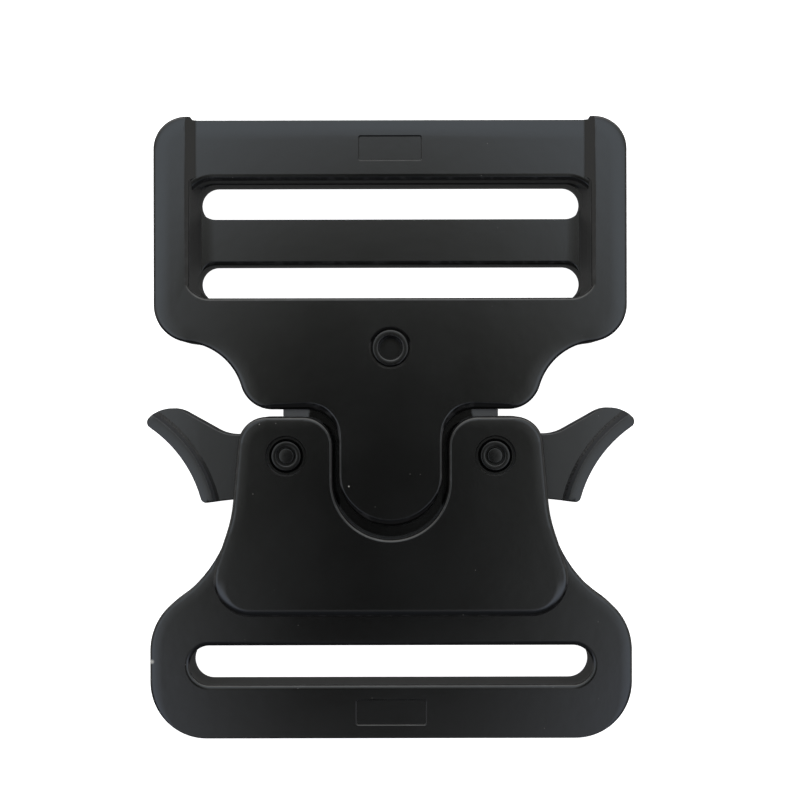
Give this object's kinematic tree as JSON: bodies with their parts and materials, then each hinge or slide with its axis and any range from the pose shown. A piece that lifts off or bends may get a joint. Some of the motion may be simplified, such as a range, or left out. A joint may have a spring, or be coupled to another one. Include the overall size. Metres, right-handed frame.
{
  "type": "quick release buckle",
  "caption": "Fastened metal quick release buckle with two sprung thumb levers, an adjuster half with two webbing slots and a fixed half with one slot.",
  "frame": {"origin": "centre of the buckle's footprint on its back face, which lies on the surface", "axes": "+Y along the webbing towards the adjuster half, +Z out of the front face, +X to the right as seen from the front"},
  "size_m": [0.06, 0.0764, 0.01],
  "materials": {
    "coated_casting": "matte black coating on die-cast zinc alloy",
    "coated_lever": "matte black coating on steel",
    "coated_rivet": "satin black coating on steel",
    "plated_steel": "dark plated steel, lightly brushed"
  },
  "bodies": {
    "buckle": {"adjuster_body": "coated_casting", "latch_plate": "plated_steel", "latch_rivet": "coated_rivet", "base_frame": "coated_casting", "cover_plate": "coated_casting", "pivot_rivet_left": "coated_rivet", "pivot_rivet_right": "coated_rivet"},
    "lever_left": {"lever_left": "coated_lever"},
    "lever_right": {"lever_right": "coated_lever"}
  },
  "joints": [
    {"name": "release_left", "type": "hinge", "parent": "buckle", "child": "lever_left", "pos_m": [-0.0128, -0.0033, 0.005], "axis": [0, 0, -1], "range_deg": [0, 14], "stiffness_Nm_per_rad": 0.08, "springref_deg": -17.19},
    {"name": "release_right", "type": "hinge", "parent": "buckle", "child": "lever_right", "pos_m": [0.0128, -0.0033, 0.005], "axis": [0, 0, 1], "range_deg": [0, 14], "stiffness_Nm_per_rad": 0.08, "springref_deg": -17.19}
  ]
}
